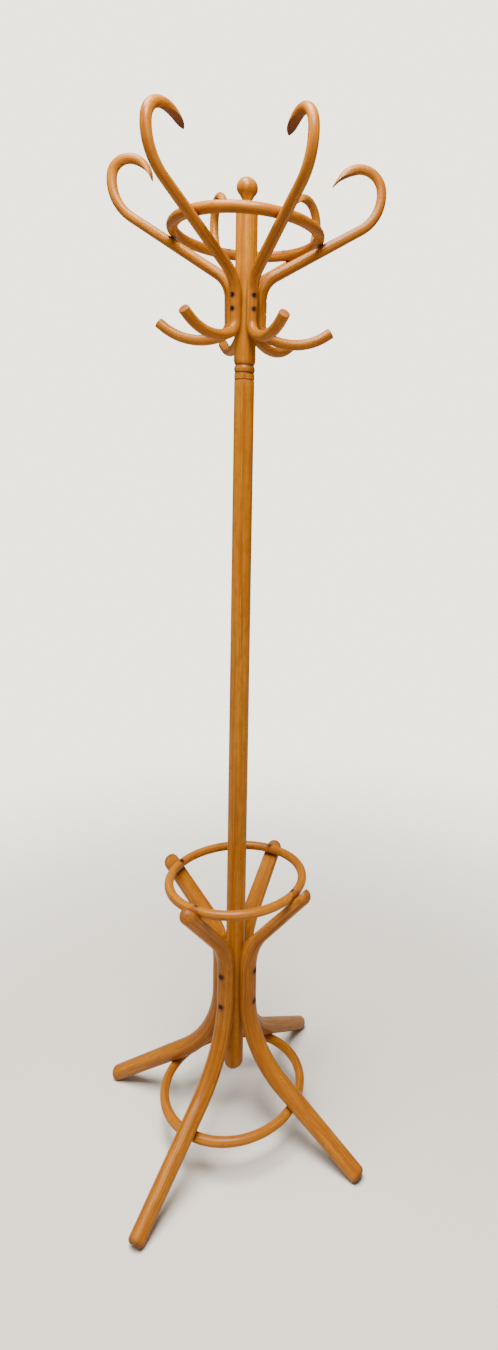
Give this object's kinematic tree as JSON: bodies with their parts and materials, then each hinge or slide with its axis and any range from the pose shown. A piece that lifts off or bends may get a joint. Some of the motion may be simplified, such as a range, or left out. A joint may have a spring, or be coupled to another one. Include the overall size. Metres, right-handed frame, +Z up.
{
  "type": "hat and coat stand",
  "caption": "Free-standing bentwood hat and coat stand: turned post with a ball finial, S-shaped hooks around a turning head, a hat ring, and splayed bent legs with an umbrella ring.",
  "frame": {"origin": "on the floor under the axis of the post, within 7 mm of the centre of the bounding box's bottom", "axes": "+Z up along the post; -Y towards the viewer of the main view; +X to the viewer's right"},
  "size_m": [0.5174, 0.4979, 1.8998],
  "materials": {
    "post_wood": "satin lacquered beech",
    "bent_wood": "satin lacquered bent beech",
    "screw_steel": "dark burnished steel",
    "spindle_steel": "bright drawn steel",
    "bush_brass": "turned brass",
    "washer_plastic": "dark nylon"
  },
  "bodies": {
    "base": {"lower_post": "post_wood", "leg_1": "bent_wood", "leg_2": "bent_wood", "leg_3": "bent_wood", "leg_4": "bent_wood", "umbrella_ring": "bent_wood", "base_ring": "bent_wood", "spindle": "spindle_steel", "thrust_washer": "washer_plastic", "leg_screws": "screw_steel", "umbrella_ring_screws": "screw_steel", "base_ring_screws": "screw_steel"},
    "head": {"upper_post": "post_wood", "ball_finial": "post_wood", "hook_1": "bent_wood", "hook_2": "bent_wood", "hook_3": "bent_wood", "hook_4": "bent_wood", "hook_5": "bent_wood", "hook_6": "bent_wood", "hat_ring": "bent_wood", "spindle_bush": "bush_brass", "hook_screws": "screw_steel", "hat_ring_screws": "screw_steel"}
  },
  "joints": [
    {"name": "head_turn", "type": "hinge", "parent": "base", "child": "head", "pos_m": [0, 0, 1.506], "axis": [0, 0, 1], "continuous": true}
  ]
}
